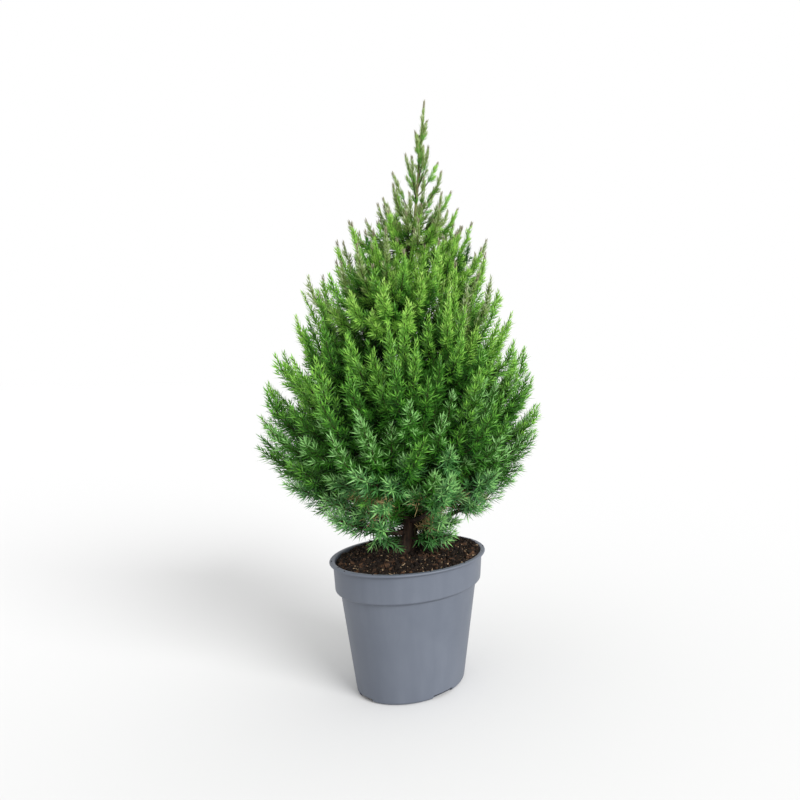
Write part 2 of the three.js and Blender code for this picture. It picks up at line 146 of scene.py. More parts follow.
# The twig that each limb itself ends in, by shares of the limb
ENDING = SimpleNamespace(start=0.26, start_without_bough=0.1, end=0.985, first_seed=9000)
LAYERS = (
    SimpleNamespace(
        name="outer", count=310, crowding=0.82, reach=1.0, unevenness=0.27, thinning=1,
        bottom=172, top=734, first_seed=26,
    ),
    SimpleNamespace(
        name="middle", count=430, crowding=0.6, reach=0.72, unevenness=0.25, thinning=1.2,
        bottom=228, top=598, first_seed=5000,
    ),
    SimpleNamespace(
        name="inner", count=280, crowding=0.5, reach=0.48, unevenness=0.5, thinning=1.2,
        bottom=222, top=608, first_seed=7000,
    ),
)
# Where the crown is open low down, so that the trunk's foot shows
CLEARING = SimpleNamespace(bearing=-66, half_width=19, height=212, slope=0.23, round_trunk=15)
# How far foliage stays above the compost, and above the pot's lip and what is close to it
HANGING = SimpleNamespace(over_soil=5, over_lip=4, close_to_lip=14)

# Colours of the needles, as screen values. Shade and deep are the darker greens that paint the shade inside
# the crown and at the foot of each plume.

NEEDLE_COLOURS = {
    "shade": (14, 62, 8),
    "deep": (56, 112, 30),
    "leaf": (95, 156, 48),
    "grass": (131, 187, 69),
    "fresh": (155, 199, 88),
    "blue": (70, 128, 62),
    "mint": (124, 177, 99),
    "moss": (130, 157, 82),
    "sage": (168, 182, 138),
    "bud": (134, 132, 104),
    "straw": (208, 182, 130),
}
# The colours of a spray's inner, middle and outer needles; the darker inner ones are painted shade
TINTS = {
    "dark": ("shade", "shade", "deep"),
    "dim": ("shade", "deep", "deep"),
    "aged": ("straw", "blue", "mint"),
    "blue": ("shade", "blue", "mint"),
    "deep": ("shade", "deep", "mint"),
    "leaf": ("shade", "deep", "leaf"),
    "fresh": ("shade", "leaf", "grass"),
    "bright": ("leaf", "grass", "fresh"),
    "sage": ("leaf", "moss", "sage"),
    "straw": ("straw", "straw", "straw"),
}
# How the tints are dealt out
TINT = SimpleNamespace(
    # the outer sprays' tints from the foot of the crown up, with the share of the sprays where each ends
    outer=(("blue", 0.27), ("deep", 0.42), ("leaf", 0.56), ("fresh", 0.75), ("bright", 0.88), ("sage", 2)),
    mixing=0.26,  # how far they run into each other
    front=-73, turning=0.2,  # the bearing where they are bluest, and how much yellower the sides are
    light_from=0.62, light_growth=3.5,  # where the inner sprays begin to turn light, and how fast
    sage_from=0.88,  # where those turn grey
    dead=0.5, dead_height=244, dead_depth=36,  # share of sprays with dead needles, and where those are
    bud_from=0.8, bud_length=0.1,  # where sprays have greyer ends, and the length of those
    by_twig=0.55, by_shoot=0.45,  # how far out a needle counts, by its place on the twig and on the shoot
    thirds=(0.38, 0.66),  # where the middle and the outer needles begin
)

# The compost's uneven top, and the crumbs and chips that lie on it

HEAP = SimpleNamespace(
    height=2, tilt_x=1.5, tilt_y=3,  # over the solid, with more of it to the right and the back
    lump=1.6, lump_rate=0.05, lump_slice=3,
    crumble=1.6, crumble_rate=0.16, crumble_octaves=(0.9, 2.2, 4),  # fall-off, step and number
)
CRUMB = SimpleNamespace(
    wall_gap=3,
    smallness=2.5,  # above 1 most crumbs are small
    corner_range=(0.6, 1.4),  # how far each corner stands out, of the size
    breadth=0.6,
    lie=0.25,  # height of the middle over the compost, of the size
    lip_inset=1.5, lip_size=(0.7, 1.4),  # of those on the pot's lip
)
CRUMBS = (
    SimpleNamespace(
        name="peat_crumbs", count=2400, on_lip=14, size=(0.9, 4.2), flatness=0.7, seed=1,
        dark=(12, 8, 6), light=(36, 26, 18),
    ),
    SimpleNamespace(
        name="bark_crumbs", count=800, on_lip=0, size=(1.2, 5.2), flatness=0.35, seed=2,
        dark=(30, 21, 15), light=(82, 58, 40),
    ),
    SimpleNamespace(
        name="pale_crumbs", count=640, on_lip=0, size=(0.6, 2.4), flatness=0.5, seed=3,
        dark=(100, 82, 62), light=(172, 148, 118),
    ),
)

# The bark's ridges. Rates are in radians for each millimetre along a limb.

FURROW = SimpleNamespace(
    broad=9, fine=19,  # ridges round a limb
    broad_height=0.9, fine_height=0.5, depth=0.7,
    drift=0.6, drift_rate=0.045,  # how all ridges wander
    weave=0.35, weave_rate=0.11, weave_turns=2,
    waver=0.3, waver_rate=0.07,  # of the broad ridges alone
    crossing=1.7, crossing_rate=0.02,  # how the fine ridges run across the broad ones
    break_rate=0.21, break_turns=3, break_skew=2,  # where the fine ridges break off
)

# Fineness of the meshes

MOST_TRIANGLES = 190000  # in one piece
ON_AXIS = 0.01  # radius of a ring that stands for a point on the axis
POT_MESH = SimpleNamespace(sides=160, edge_round=1.6, edge_steps=4, edge_share=0.45, sharp_angle=35)
SOIL_MESH = SimpleNamespace(sides=150, rings=75, wall_gap=1.2)
TRUNK_MESH = SimpleNamespace(sides=80, rings=300, foot_packing=1.3, relief=0.085)
LIMB_MESH = SimpleNamespace(sides=16, rings=70, relief=0.1, relief_rate=3)
TWIG_MESH = SimpleNamespace(sides=5, rings=7)
SHOOT_MESH = SimpleNamespace(sides=3, rings=3)
BLADE = np.array(((0, 1, 2), (0, 2, 3)))  # a needle's triangles over its four corners

# Camera, light and floor

SENSOR = 36
IMAGE = 800  # pixels
VIEW = SimpleNamespace(
    focal=640, middle=600,  # pixels: the focal length, and the column that the lens points at
    x=244.7, y=-809.9, z=395.2, pitch=2.49, roll=0.31, nearest=10,
)
KEY = SimpleNamespace(bearing=-40, height=26, breadth=28, strength=3.4)  # degrees, and the sun's strength
FLOOR = SimpleNamespace(radius=30000, sides=64, paint=0.68, roughness=0.9)

# Small helpers

TINY = 1e-9
STEEP = 0.93  # upright share above which a direction counts as upright


def lerp(a, b, t):
    return a + (b - a) * t


def by_rank(trio, rank):
    """A size between its low, middle and top values."""
    return np.interp(rank, (0, MIDDLE_RANK, 1), trio)


def seeded_random(seed):
    """The source's evenly spread numbers from 0 to 1, the same on every run."""
    state = (seed * RANDOM.spread + RANDOM.offset) % RANDOM.range

    def draw():
        nonlocal state
        state = (state * RANDOM.factor + RANDOM.step) % RANDOM.range
        return state / RANDOM.range

    draw()
    draw()
    return draw


def unit(vectors):
    return vectors / np.maximum(np.linalg.norm(vectors, axis=-1, keepdims=True), TINY)


def level_direction(bearing):
    return np.array((math.cos(bearing), math.sin(bearing), 0))


def turns_round(sides):
    return 2 * np.pi * np.arange(sides) / sides


def cross_axes(along):
    """Two directions square to each of many directions."""
    steep = np.abs(along[..., 2:]) > STEEP
    reference = np.where(steep, np.array((1.0, 0.0, 0.0)), UP)
    side = unit(np.cross(along, reference))
    return side, np.cross(side, along)


def swing(start, towards, angle):
    """Directions turned by an angle from one direction towards another that is square to it."""
    return np.cos(angle)[..., None] * start + np.sin(angle)[..., None] * towards


def bezier(curve, t):
    """Points of many quadratic curves, each given as three corners, at one t for each."""
    start, middle, end = curve
    t = np.asarray(t, float)[..., None]
    return (1 - t) ** 2 * start + 2 * t * (1 - t) * middle + t**2 * end


def bezier_tangent(curve, t):
    start, middle, end = curve
    t = np.asarray(t, float)[..., None]
    return unit((1 - t) * (middle - start) + t * (end - middle))


def part_of_curve(curve, first, last):
    """The three corners of a stretch of one quadratic curve."""
    start, middle, end = curve
    corner = (1 - first) * (1 - last) * start + first * last * end
    corner = corner + (first * (1 - last) + last * (1 - first)) * middle
    return bezier(curve, first), corner, bezier(curve, last)


# Materials


def srgb(red, green, blue):
    """Screen values from 0 to 255 as the linear values that a shader takes."""
    return tuple(((value / 255 + 0.055) / 1.055) ** 2.4 for value in (red, green, blue))


class Graph:
    """A material's nodes, made and linked by short calls. Colours are screen values."""

    COLOUR_A, COLOUR_B, COLOUR_RESULT = 6, 7, 2  # the Mix node's sockets for colours

    def __init__(self, name, roughness, specular):
        self.material = bpy.data.materials.new(name)
        self.material.use_nodes = True
        self.tree = self.material.node_tree
        self.shader = self.tree.nodes["Principled BSDF"]
        self.shader.inputs["Roughness"].default_value = roughness
        self.shader.inputs["Specular IOR Level"].default_value = specular

    def node(self, kind, links=None, **values):
        made = self.tree.nodes.new(kind)
        for name, value in values.items():
            if name in made.inputs:
                made.inputs[name].default_value = value
            else:
                setattr(made, name, value)
        for name, source in (links or {}).items():
            self.tree.links.new(source, made.inputs[name])
        return made

    def place(self, scale=(1, 1, 1)):
        coordinates = self.node("ShaderNodeTexCoord")
        mapping = self.node("ShaderNodeMapping", {"Vector": coordinates.outputs["Object"]}, Scale=scale)
        return mapping.outputs["Vector"]

    def noise(self, place, scale=1.0, detail=4.0, roughness=0.55):
        sizes = {"Scale": scale, "Detail": detail, "Roughness": roughness}
        return self.node("ShaderNodeTexNoise", {"Vector": place}, **sizes).outputs["Fac"]

    def ramp(self, factor, *stops):
        made = self.node("ShaderNodeValToRGB", {"Fac": factor})
        elements = made.color_ramp.elements
        while len(elements) < len(stops):
            elements.new(0.5)
        for element, (position, colour) in zip(elements, stops):
            element.position = position
            element.color = (*srgb(*colour), 1)
        return made.outputs["Color"]

    def blend(self, factor, a, b):
        made = self.node("ShaderNodeMix", data_type="RGBA")
        self.tree.links.new(factor, made.inputs["Factor"])
        self.tree.links.new(a, made.inputs[self.COLOUR_A])
        self.tree.links.new(b, made.inputs[self.COLOUR_B])
        return made.outputs[self.COLOUR_RESULT]

    def span(self, factor, low, high, start, end):
        made = self.node("ShaderNodeMapRange", {"Value": factor})
        for name, value in {"From Min": start, "From Max": end, "To Min": low, "To Max": high}.items():
            made.inputs[name].default_value = value
        return made.outputs["Result"]

    def bump(self, height, distance):
        made = self.node("ShaderNodeBump", {"Height": height}, Strength=1.0, Distance=distance)
        self.feed("Normal", made.outputs["Normal"])

    def feed(self, socket, source):
        self.tree.links.new(source, self.shader.inputs[socket])


def plain_material(name, colour, roughness, specular):
    """One even colour, in linear values."""
    graph = Graph(name, roughness, specular)
    graph.shader.inputs["Base Color"].default_value = (*colour, 1)
    return graph.material


def mottled_material(name, dark, light, scale, roughness, specular):
    """One colour that wanders between two shades of it."""
    graph = Graph(name, roughness, specular)
    cloud = graph.noise(graph.place(), scale, detail=3)
    graph.feed("Base Color", graph.ramp(cloud, (0.35, dark), (0.65, light)))
    return graph.material


def pot_material():
    """Grey-blue plastic, slightly cloudy, with dusty streaks down it and a fine grain."""
    graph = Graph("pot_plastic", roughness=0.45, specular=0.25)
    cloud = graph.noise(graph.place(), scale=16, detail=5)
    streak = graph.noise(graph.place((60, 60, 5)))
    base = graph.ramp(cloud, (0.3, (90, 96, 107)), (0.7, (98, 104, 115)))
    dusty = graph.ramp(streak, (0.35, (82, 87, 97)), (0.75, (110, 115, 125)))
    dust = graph.span(cloud, low=0.05, high=0.35, start=0.3, end=0.7)
    graph.feed("Base Color", graph.blend(dust, base, dusty))
    graph.feed("Roughness", graph.span(streak, low=0.4, high=0.56, start=0.3, end=0.7))
    graph.bump(graph.noise(graph.place(), scale=1400, detail=2), distance=0.00006)
    return graph.material


def soil_material():
    """Dark moist peat."""
    graph = Graph("compost", roughness=0.95, specular=0.2)
    crumb = graph.noise(graph.place(), scale=420, detail=8, roughness=0.7)
    graph.feed("Base Color", graph.ramp(crumb, (0.3, (11, 8, 6)), (0.5, (29, 21, 15)), (0.72, (60, 44, 31))))
    graph.bump(crumb, distance=0.0015)
    return graph.material


def bark_material():
    """Dark brown fibrous bark with greyer flakes."""
    graph = Graph("bark", roughness=0.85, specular=0.25)
    fibre = graph.noise(graph.place((330, 330, 38)), detail=7, roughness=0.65)
    flake = graph.noise(graph.place((90, 90, 30)))
    dark = graph.ramp(fibre, (0.36, (16, 11, 9)), (0.52, (44, 29, 22)), (0.7, (84, 57, 42)))
    grey = graph.ramp(fibre, (0.35, (22, 18, 15)), (0.7, (86, 73, 62)))
    flaking = graph.span(flake, low=0, high=0.7, start=0.45, end=0.65)
    graph.feed("Base Color", graph.blend(flaking, dark, grey))
    graph.bump(fibre, distance=0.0008)
    return graph.material


# Meshes


def add_piece(name, corners, faces, material, slot, replaced=(), smooth=False):
    """Makes a mesh piece from corners in millimetres and triangles, and hangs it on the frame."""
    corners = np.asarray(corners, np.float32) * MM
    faces = np.asarray(faces, np.int32)
    mesh = bpy.data.meshes.new(name)
    mesh.vertices.add(len(corners))
    mesh.vertices.foreach_set("co", corners.ravel())
    mesh.loops.add(faces.size)
    mesh.loops.foreach_set("vertex_index", faces.ravel())
    mesh.polygons.add(len(faces))
    mesh.polygons.foreach_set("loop_start", np.arange(0, faces.size, 3, dtype=np.int32))
    mesh.polygons.foreach_set("use_smooth", np.full(len(faces), smooth))
    mesh.update(calc_edges=True)
    mesh.materials.append(material)
    return hang(bpy.data.objects.new(name, mesh), slot, replaced)


def hang(piece, slot, replaced=()):
    """Rides a piece on the only body, and hides the solids that it takes the place of."""
    bpy.context.scene.collection.objects.link(piece)
    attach(piece, "root")
    if replaced:
        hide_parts(*replaced)
    return piece


def ring_faces(rings, sides):
    """Triangles between rings of corners that follow each other."""
    ring = np.arange(rings - 1)[:, None] * sides
    here = np.arange(sides)[None, :]
    after = (here + 1) % sides
    a, b = ring + here, ring + after
    c, d = b + sides, a + sides
    return np.stack((a, b, c, a, c, d), -1).reshape(-1, 3)


def repeated(faces, corners, count):
    """The triangles of many like shapes, each with the same number of corners, one after another."""
    return (faces + corners * np.arange(count)[:, None, None]).reshape(-1, 3)


def tubes(points, radii, sides):
    """Many tapering rods at once, each through the same number of points, with open ends."""
    count, rings = points.shape[:2]
    side, lift = cross_axes(unit(np.gradient(points, axis=1)))
    spokes = swing(side[:, :, None], lift[:, :, None], turns_round(sides))
    corners = points[:, :, None] + radii[:, :, None, None] * spokes
    return corners.reshape(-1, 3), repeated(ring_faces(rings, sides), rings * sides, count)


def joined(parts):
    """Several sets of corners and triangles as one."""
    corners, faces, first = [], [], 0
    for part_corners, part_faces in parts:
        corners.append(part_corners)
        faces.append(part_faces + first)
        first += len(part_corners)
    return np.concatenate(corners), np.concatenate(faces)


# The crown's outline and the trunk's line


def axis_at(height):
    """The trunk's middle at many heights, carried on to the crown's top."""
    height = np.asarray(height, float)
    t = (height - SOIL.crest_height) / (CROWN.top - SOIL.crest_height)
    slope = TRUNK.slope * (1 - np.exp(-(height - SOIL.crest_height) / TRUNK.slope_height))
    x = TRUNK.foot_x + slope + TRUNK.lean * t * t - TRUNK.bow * (1 - t) * np.sin(np.pi * t)
    y = TRUNK.foot_y + TRUNK.weave * np.sin(2 * np.pi * t)
    return np.stack((x, y, height), -1)


def trunk_radius(height):
    share = (np.asarray(height, float) - SOIL.crest_height) / (TRUNK.tip_height - SOIL.crest_height)
    return lerp(TRUNK.foot_radius, TRUNK.tip_radius, np.clip(share, 0, 1))


def crown_radius(height):
    share = np.clip((np.asarray(height, float) - CROWN.bottom) / (CROWN.top - CROWN.bottom), 0, 1)
    peak = CROWN.shoulder / (CROWN.shoulder + CROWN.taper)
    return CROWN.radius * (share / peak) ** CROWN.shoulder * ((1 - share) / (1 - peak)) ** CROWN.taper


def offset_from_axis(points):
    return points[..., :2] - axis_at(points[..., 2])[..., :2]


def depth_in_crown(points):
    """How far inside the crown's outline points lie, less than 0 outside."""
    return crown_radius(points[..., 2]) - np.linalg.norm(offset_from_axis(points), axis=-1)


def height_at_share(share, crowding):
    """The height below which the given share of the tips lies."""
    heights = lerp(CROWN.bottom, CROWN.top, (np.arange(CROWN.slices) + 0.5) / CROWN.slices)
    tips = np.cumsum(crown_radius(heights) ** crowding)
    return heights[np.searchsorted(tips, share * tips[-1])]


def hangs_clear(points):
    """Whether points lie high enough above the compost, or over the pot's lip."""
    radius = np.linalg.norm(points[..., :2], axis=-1)
    over_lip = radius > POT.band_top_radius - HANGING.close_to_lip
    lowest = np.where(over_lip, POT.height + HANGING.over_lip, SOIL.crest_height + HANGING.over_soil)
    return points[..., 2] > lowest


def in_clearing(points):
    """Whether points lie where the crown is open, in front of the trunk's foot and close round it."""
    offset = offset_from_axis(points)
    radius = np.linalg.norm(offset, axis=-1)
    bearing = np.degrees(np.arctan2(offset[..., 1], offset[..., 0]))
    in_front = np.abs(bearing - CLEARING.bearing) < CLEARING.half_width
    low = points[..., 2] < CLEARING.height + CLEARING.slope * radius
    return low & (in_front | (radius < CLEARING.round_trunk))


# Limbs


def plan_limb(index):
    """One limb by the source's rule: a curve from the trunk out to the crown's outline."""
    draw = seeded_random(index + 1)
    rank = (index + 0.5) / LIMB.count
    sway = LIMB.bearing_sway * (draw() - 0.5)
    bearing = math.radians(LIMB.first_bearing + sway) + index * GOLDEN_ANGLE
    tip_height = height_at_share(rank * LIMB.top_share, CROWN.crowding)
    reach = crown_radius(tip_height) * (1 - LIMB.unevenness * draw())
    climb = reach * math.tan(math.radians(lerp(LIMB.low_ascent, LIMB.high_ascent, rank)))
    lowest_foot = SOIL.crest_height + LIMB.lowest_foot + index * LIMB.foot_step
    foot = axis_at(max(lowest_foot, tip_height - climb))
    tip = axis_at(tip_height) + reach * level_direction(bearing)
    elbow = lerp(foot, tip, LIMB.elbow)
    elbow[2] = lerp(foot[2], tip[2], LIMB.elbow_rise)
    curve = (foot, elbow, tip)
    run = bezier(curve, np.linspace(0, 1, LIMB.samples))
    length = np.linalg.norm(np.diff(run, axis=0), axis=1).sum()
    foot_radius = LIMB.thickness * trunk_radius(foot[2])
    has_bough = LIMB.bough_share * length - trunk_radius(foot[2]) > LIMB.shortest_bough
    return SimpleNamespace(
        name=f"{index + 1:02d}", rank=rank * LIMB.top_share, curve=curve,
        foot_radius=foot_radius, has_bough=has_bough,
        stem_start=LIMB.bough_share if has_bough else 0, heart=bezier(curve, LIMB.heart),
        stem_radius=foot_radius * LIMB.bough_taper if has_bough else foot_radius,
    )


def plan_leader():
    """The stem that carries the trunk on to the crown's top."""
    foot, tip = axis_at(TRUNK.tip_height + GAP), axis_at(CROWN.top)
    curve = (foot, lerp(foot, tip, 0.5), tip)
    return SimpleNamespace(
        name="top", rank=1, curve=curve, foot_radius=TRUNK.tip_radius, has_bough=False, stem_start=0,
        heart=bezier(curve, LIMB.leader_heart), stem_radius=TRUNK.tip_radius,
    )


# Sprays, shoots and needles


def plan_tips(layer):
    """The tips of one layer of sprays, on the source's spiral, with the way each one points."""
    for index in range(layer.count):
        draw = seeded_random(layer.first_seed + index)
        rank = (index + 0.5) / layer.count
        height = height_at_share(rank, layer.crowding)
        if not layer.bottom < height < layer.top:
            continue
        bearing = index * GOLDEN_ANGLE
        reach = crown_radius(height) * layer.reach * (1 - layer.unevenness * draw())
        reach *= np.interp(height, SPRAY.spread_heights, SPRAY.spread)
        nearness = math.exp(-(((height - SPRAY.fuller_height) / SPRAY.fuller_depth) ** 2))
        reach *= 1 + SPRAY.fuller * nearness * math.cos(bearing)
        reach = min(reach, crown_radius(height) + CROWN.slack)
        turn = bearing + math.radians(SPRAY.sway) * (2 * draw() - 1)
        rise = np.interp(height, SPRAY.rise_heights, SPRAY.rise) + SPRAY.sway * (draw() - 0.5)
        rise = math.radians(rise)
        heading = level_direction(turn) * math.cos(rise) + UP * math.sin(rise)
        yield axis_at(height) + reach * level_direction(bearing), heading, rank, draw


def grow_twigs(limbs):
    """The twig of every spray: a curve from the limb that owns its place in the crown out to its tip."""
    hearts = np.array([limb.heart for limb in limbs])
    for limb in limbs:
        shares = lerp(limb.stem_start, LIMB.stem_end, (np.arange(SPRAY.roots) + 1) / SPRAY.roots)
        limb.roots = bezier(limb.curve, shares)
        limb.uses = np.zeros(SPRAY.roots)
    twigs = []
    for layer in LAYERS:
        for tip, heading, rank, draw in plan_tips(layer):
            limb = limbs[np.argmin(np.linalg.norm(hearts - tip, axis=1))]
            run = tip - limb.roots
            length = np.linalg.norm(run, axis=1)
            score = run @ heading / length
            score -= SPRAY.stretch * np.abs(length / by_rank(SPRAY.usual, rank) - 1)
            score -= SPRAY.sharing * limb.uses
            best = np.argmax(score)
            limb.uses[best] += 1
            elbow = tip - heading * SPRAY.bend * length[best]
            twigs.append(SimpleNamespace(
                curve=(limb.roots[best], elbow, tip), length=length[best], rank=rank,
                tint=pick_tint(tip, rank, layer.name, draw), thinning=layer.thinning, draw=draw,
            ))
    for limb in limbs:
        first = ENDING.start if limb.has_bough else ENDING.start_without_bough
        start, middle, end = part_of_curve(limb.curve, first, ENDING.end)
        draw = seeded_random(ENDING.first_seed + len(twigs))
        twigs.append(SimpleNamespace(
            curve=(start, middle, end), length=np.linalg.norm(end - start), rank=limb.rank,
            tint=pick_tint(end, limb.rank, "outer", draw), thinning=1, draw=draw,
        ))
    return twigs


def pick_tint(tip, rank, layer, draw):
    """Deals out a spray's colours.

    Outer sprays are bluer low in front, yellower at the sides and grey-green at the top, and inner ones
    are dark with painted shade. Round one height low in the crown some sprays have dead needles.
    """
    away = abs(tip[2] - TINT.dead_height) / TINT.dead_depth
    dead = away < 1 and draw() < TINT.dead * (1 - away)
    if layer == "outer":
        if dead:
            return "aged"
        x, y = offset_from_axis(tip)
        facing = math.cos(math.atan2(y, x) - math.radians(TINT.front))
        mark = rank + TINT.mixing * (draw() - 0.5) + TINT.turning * (1 - rank) * (1 - max(facing, 0))
        return next(name for name, end in TINT.outer if mark < end)
    if draw() < TINT.light_growth * (rank - TINT.light_from):
        return "bright" if rank < TINT.sage_from else "sage"
    if dead:
        return "straw"
    # the dark and dim tints of the middle and inner sprays paint the shade inside the crown
    if layer == "middle":
        return "dim" if draw() > rank else "leaf"
    return "dark"


def grow_shoots(twig):
    """The twig's own needled end, and then its side shoots, set round it in a spiral."""
    chance = np.random.default_rng(int(twig.draw() * RANDOM.range))
    vigour = 1 + SPRAY.vigour * (chance.random() - 0.5)
    spacing = by_rank(SHOOT.spacing, twig.rank) * twig.thinning
    count = max(SHOOT.fewest, int(twig.length * (1 - SPRAY.bare) / spacing))
    place = lerp(SPRAY.bare, SPRAY.last_shoot, (np.arange(count) + 0.5) / count)
    foot = bezier(twig.curve, place)
    along = bezier_tangent(twig.curve, place)
    turn = np.arange(count) * GOLDEN_ANGLE + chance.random() * 2 * np.pi
    spoke = swing(*cross_axes(along), turn)
    slant = np.radians(by_rank(SHOOT.slant, twig.rank)) * lerp(SHOOT.foot_slant, SHOOT.tip_slant, place)
    longest = by_rank(SHOOT.length, twig.rank) * vigour
    uneven = 1 + SHOOT.unevenness * (chance.random(count) - SHOOT.shortening)
    length = longest * lerp(1, SHOOT.tip_length, place) * uneven
    out = swing(along, spoke, slant)
    end = unit(out + SHOOT.straighten * along + SHOOT.lift * UP)
    middle = foot + out * (0.5 * length)[:, None]
    tip = middle + end * (0.5 * length)[:, None]
    start = 1 - SHOOT.leading
    leading = part_of_curve(twig.curve, start, 1)
    curves = [np.vstack((own, many)) for own, many in zip(leading, (foot, middle, tip))]
    return np.stack(curves), np.concatenate(((start,), place))


def collect_shoots(twigs):
    """All shoots as arrays, drawn in where they leave the crown, and left out where they hang too low.

    A twig whose own end would hang too low is left out with all its shoots.
    """
    grown = [grow_shoots(twig) for twig in twigs]
    curves = np.concatenate([some for some, _ in grown], axis=1)
    place = np.concatenate([places for _, places in grown])
    count = [len(places) for _, places in grown]
    leads = np.concatenate([np.arange(number) == 0 for number in count])
    rank = np.repeat([twig.rank for twig in twigs], count)
    tint = np.repeat([list(TINTS).index(twig.tint) for twig in twigs], count)
    for _ in range(SHOOT.draw_ins):
        out = depth_in_crown(curves[2]) < -CROWN.slack
        curves[1:, out] = lerp(curves[0, out], curves[1:, out], SHOOT.draw_in)
    kept = hangs_clear(curves[1]) & hangs_clear(curves[2])
    kept &= ~in_clearing(curves[1]) & ~in_clearing(curves[2])
    stays = kept[leads]
    kept &= np.repeat(stays, count)
    return SimpleNamespace(
        twigs=[twig for twig, stay in zip(twigs, stays) if stay], curves=curves[:, kept],
        place=place[kept], leads=leads[kept], rank=rank[kept], tint=tint[kept],
    )


def grow_needles(shoots):
    """Whorls of needles along every shoot, as folded blades, with the colour of each."""
    chance = np.random.default_rng(NEEDLE.seed)
    length = np.linalg.norm(shoots.curves[2] - shoots.curves[0], axis=1)
    whorls = (length / by_rank(NEEDLE.spacing, shoots.rank)).astype(int)
    whorls = np.maximum(NEEDLE.fewest_whorls, whorls)
    owner = np.repeat(np.arange(len(length)), whorls)
    first = np.repeat(np.cumsum(whorls) - whorls, whorls)
    step = np.arange(len(owner)) - first
    place = np.minimum((step + NEEDLE.first_whorl) / np.repeat(whorls, whorls), 1)
    curve = shoots.curves[:, owner]
    foot = bezier(curve, place)
    along = bezier_tangent(curve, place)
    side, lift = cross_axes(along)
    rank = shoots.rank[owner]
    turn = step * np.pi / NEEDLE.per_whorl + chance.random(len(owner)) * NEEDLE.twist
    slant = np.radians(by_rank(NEEDLE.slant, rank)) * lerp(1, NEEDLE.tip_slant, place**2)
    size = by_rank(NEEDLE.length, rank) * lerp(1, NEEDLE.tip_length, place**3)
    # needles near the foot of the twig and of the shoot take the tint's darker colours, painted shade inside
    # each plume
    third = np.digitize(TINT.by_twig * shoots.place[owner] + TINT.by_shoot * place, TINT.thirds)
    shade = tint_table()[shoots.tint[owner], third]
    bud = shoots.leads[owner] & (rank > TINT.bud_from) & (place > 1 - TINT.bud_length)
    shade[bud] = list(NEEDLE_COLOURS).index("bud")
    parts = []
    for apart in turns_round(NEEDLE.per_whorl):
        spoke = swing(side, lift, turn + apart)
        lean = slant * lerp(*NEEDLE.slant_range, chance.random(len(owner)))
        axis = swing(along, spoke, lean)
        across = unit(np.cross(axis, spoke))
        face = np.cross(across, axis)
        long = (size * lerp(*NEEDLE.length_range, chance.random(len(owner))))[:, None]
        broad = foot + axis * long * NEEDLE.widest + face * NEEDLE.fold * NEEDLE.width
        half = across * NEEDLE.width / 2
        parts.append(np.stack((foot, broad + half, foot + axis * long, broad - half), 1))
    return np.concatenate(parts), np.tile(shade, NEEDLE.per_whorl)


def tint_table():
    """The numbers of each tint's three colours."""
    names = list(NEEDLE_COLOURS)
    return np.array([[names.index(name) for name in trio] for trio in TINTS.values()])


# Camera and stage


def add_camera():
    pitch, roll = math.radians(VIEW.pitch), math.radians(VIEW.roll)
    level = Vector((1, 0, 0))
    raised = Vector((0, math.sin(pitch), math.cos(pitch)))
    ahead = Vector((0, math.cos(pitch), -math.sin(pitch)))
    right = level * math.cos(roll) - raised * math.sin(roll)
    up = level * math.sin(roll) + raised * math.cos(roll)
    data = bpy.data.cameras.new("camera")
    data.sensor_width = SENSOR
    data.lens = SENSOR * VIEW.focal / IMAGE
    data.shift_x = (IMAGE / 2 - VIEW.middle) / IMAGE
    data.clip_start = VIEW.nearest * MM
    camera = bpy.data.objects.new("camera", data)
    turn = Matrix((right, up, -ahead)).transposed()
    camera.matrix_world = Matrix.Translation(Vector((VIEW.x, VIEW.y, VIEW.z)) * MM) @ turn.to_4x4()
    bpy.context.scene.collection.objects.link(camera)
    bpy.context.scene.camera = camera


def add_key_light():
    """A broad soft light from the viewer's right, even over the whole floor."""
    data = bpy.data.lights.new("key", "SUN")
    data.energy = KEY.strength
    data.angle = math.radians(KEY.breadth)
    light = bpy.data.objects.new("key", data)
    light.rotation_euler = (math.radians(90 - KEY.height), 0, math.radians(KEY.bearing + 90))
    bpy.context.scene.collection.objects.link(light)


def add_stage():
    """A wide pale floor under an even white sky, with the key light."""
    shape = bmesh.new()
    bmesh.ops.create_circle(shape, cap_ends=True, radius=FLOOR.radius * MM, segments=FLOOR.sides)
    mesh = bpy.data.meshes.new("floor")
    shape.to_mesh(mesh)
    shape.free()
    mesh.materials.append(plain_material("floor_paint", [FLOOR.paint] * 3, FLOOR.roughness, specular=0))
    floor = bpy.data.objects.new("floor", mesh)
    bpy.context.scene.collection.objects.link(floor)
    world = bpy.data.worlds.new("studio")
    world.use_nodes = True
    background = world.node_tree.nodes["Background"]
    background.inputs["Color"].default_value = (1, 1, 1, 1)
    background.inputs["Strength"].default_value = 1.0
    bpy.context.scene.world = world
    bpy.context.scene.view_settings.view_transform = "Standard"
    add_key_light()


# Pot and compost


def end_of_rounding(corner, neighbour):
    """Where a corner's rounding meets the straight run to the next corner."""
    run = neighbour - corner
    return corner + unit(run) * min(POT_MESH.edge_round, POT_MESH.edge_share * np.linalg.norm(run))


def rounded(profile):
    """An outline with its corners rounded off, except for its two ends."""
    points = [np.array(point, float) for point in profile]
    result = [points[0]]
    for before, corner, after in zip(points, points[1:], points[2:]):
        arc = (end_of_rounding(corner, before), corner, end_of_rounding(corner, after))
        result.extend(bezier(arc, np.linspace(0, 1, POT_MESH.edge_steps + 1)))
    result.append(points[-1])
    return np.array(result)


def turned(profile, sides):
    """Corners and triangles of an outline of radius and height turned round the upright axis."""
    turn = turns_round(sides)
    radius, height = profile[:, :1], profile[:, 1:]
    corners = np.stack((radius * np.cos(turn), radius * np.sin(turn), height + 0 * turn), -1)
    return corners.reshape(-1, 3), ring_faces(len(profile), sides)


